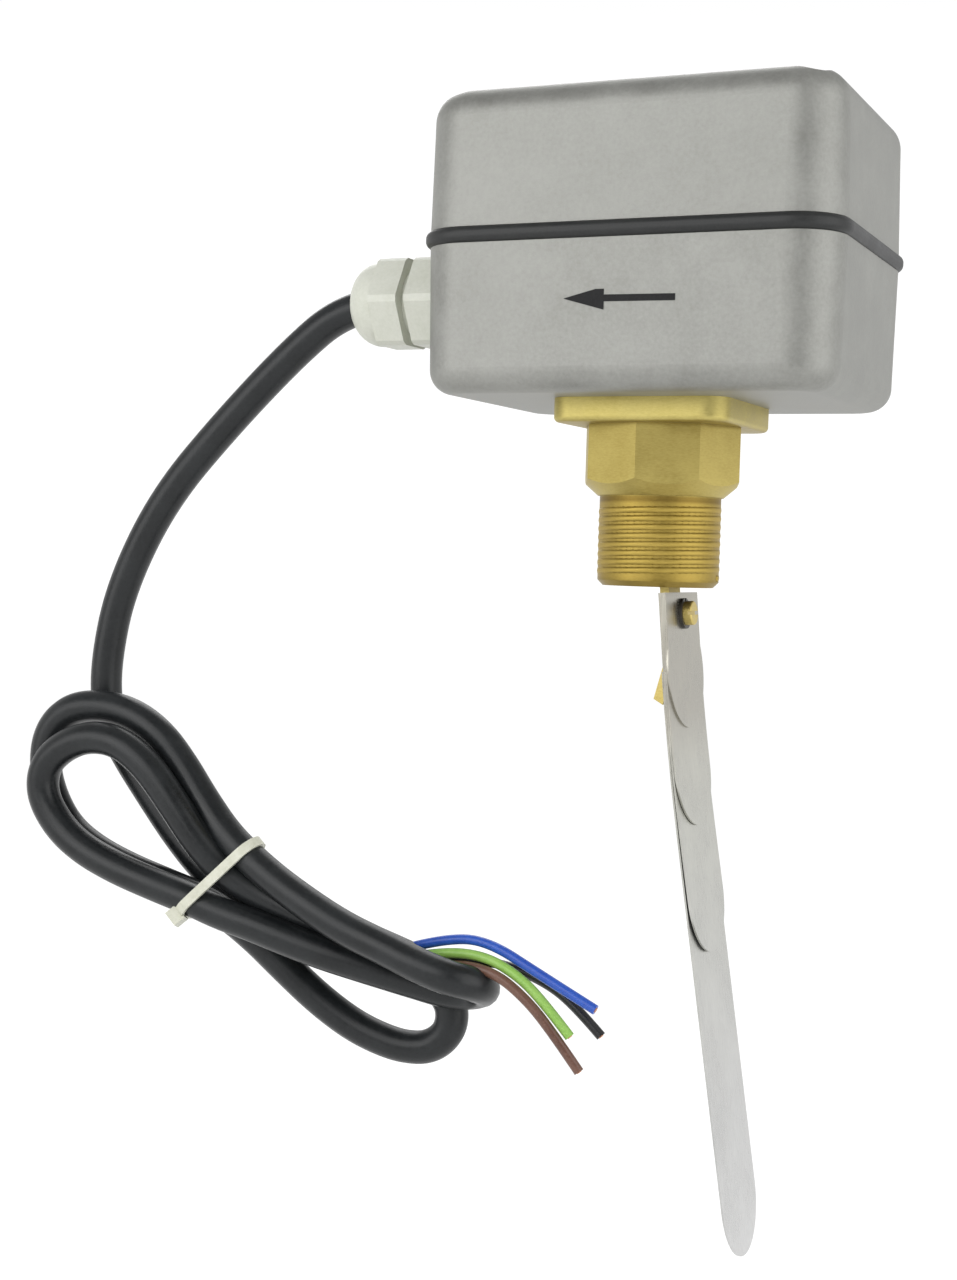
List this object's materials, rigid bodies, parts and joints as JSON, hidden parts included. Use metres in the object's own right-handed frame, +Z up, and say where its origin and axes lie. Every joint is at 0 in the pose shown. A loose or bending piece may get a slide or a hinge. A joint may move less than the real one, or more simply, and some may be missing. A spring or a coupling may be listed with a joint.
{
  "type": "paddle flow switch",
  "caption": "Paddle flow switch: cast housing with gasket and cable gland on a threaded brass fitting, with a pivoted stack of steel paddles and a hanging cord.",
  "frame": {"origin": "on the axis of the pipe thread, at the lower shoulder of the brass fitting, where the thread begins", "axes": "+Z up along the thread axis from the paddle to the housing; X along the long side of the housing, with the flow running towards -X and the cable gland on the -X wall; -Y is the front with the flow arrow"},
  "size_m": [0.2494, 0.0876, 0.3109],
  "materials": {
    "cast_aluminium": "matt die-cast",
    "gasket_rubber": "satin",
    "brass": "machined",
    "stainless": "brushed",
    "zinc_steel": "zinc plated",
    "bronze_bellows": "satin",
    "nylon_white": "satin",
    "seal_rubber": "matt",
    "switch_plastic": "moulded",
    "contact_silver": "plated",
    "cord_rubber": "satin",
    "tie_nylon": "satin",
    "core_blue": "satin",
    "core_green_yellow": "satin",
    "core_black": "satin",
    "core_brown": "satin"
  },
  "bodies": {
    "housing": {"process_fitting": "brass", "flange_o_ring": "seal_rubber", "flange_screws": "zinc_steel", "pivot_ring": "brass", "pivot_pin": "stainless", "bellows": "bronze_bellows", "bellows_retainer": "brass", "housing_base": "cast_aluminium", "cover_gasket": "gasket_rubber", "gland_body": "nylon_white", "gland_seal": "seal_rubber", "gland_dome_nut": "nylon_white", "gland_washer": "seal_rubber", "gland_locknut": "nylon_white", "switch_bracket": "zinc_steel", "bracket_screws": "zinc_steel", "microswitch_body": "switch_plastic", "switch_terminals": "contact_silver", "switch_leaf_pin": "stainless", "switch_screws": "zinc_steel", "switch_nuts": "zinc_steel", "range_spring": "stainless", "earth_screw": "zinc_steel", "earth_lug": "contact_silver", "cord_sheath_in_gland": "cord_rubber", "cord": "cord_rubber", "cord_hank": "cord_rubber", "cable_tie": "tie_nylon", "core_blue": "core_blue", "core_green_yellow": "core_green_yellow", "core_black": "core_black", "core_brown": "core_brown", "inner_core_blue": "core_blue", "inner_core_green_yellow": "core_green_yellow", "inner_core_black": "core_black", "inner_core_brown": "core_brown"},
    "lever": {"paddle_lever": "brass", "paddle_6_inch": "stainless", "paddle_3_inch": "stainless", "paddle_2_inch": "stainless", "paddle_1_inch": "stainless", "clamp_washer": "stainless", "clamp_screw": "brass"},
    "leaf": {"switch_leaf": "stainless"},
    "plunger": {"switch_plunger": "nylon_white"},
    "range_adjuster": {"range_screw": "brass", "range_screw_clip": "stainless"},
    "range_slide": {"range_nut": "brass"},
    "cover": {"housing_cover": "cast_aluminium", "cover_screws": "zinc_steel"}
  },
  "joints": [
    {"name": "paddle_swing", "type": "hinge", "parent": "housing", "child": "lever", "pos_m": [0, 0, 0.008], "axis": [0, 1, 0], "range_deg": [0, 10], "stiffness_Nm_per_rad": 0.8, "springref_deg": -8.59, "deforming": ["range_spring", "bellows"]},
    {"name": "leaf_swing", "type": "hinge", "parent": "housing", "child": "leaf", "pos_m": [0.0104, 0, 0.0595], "axis": [0, 1, 0], "range_deg": [-12.5, 0]},
    {"name": "plunger_press", "type": "slide", "parent": "housing", "child": "plunger", "axis": [1, 0, 0], "range_m": [0, 0.0018]},
    {"name": "range_screw_turn", "type": "hinge", "parent": "housing", "child": "range_adjuster", "pos_m": [0.037, 0, 0.07], "axis": [1, 0, 0], "range_deg": [-1800, 1800]},
    {"name": "range_nut_travel", "type": "slide", "parent": "housing", "child": "range_slide", "axis": [1, 0, 0], "range_m": [-0.004, 0.004], "deforming": ["range_spring"]},
    {"name": "cover_lift", "type": "slide", "parent": "housing", "child": "cover", "axis": [0, 0, 1], "range_m": [0, 0.06]}
  ],
  "couplings": [
    {"joint": "leaf_swing", "follows": "paddle_swing", "ratio": -1.25},
    {"joint": "plunger_press", "follows": "paddle_swing", "m_per_rad": 0.0103},
    {"joint": "range_nut_travel", "follows": "range_screw_turn", "m_per_rad": -0.00012732}
  ]
}
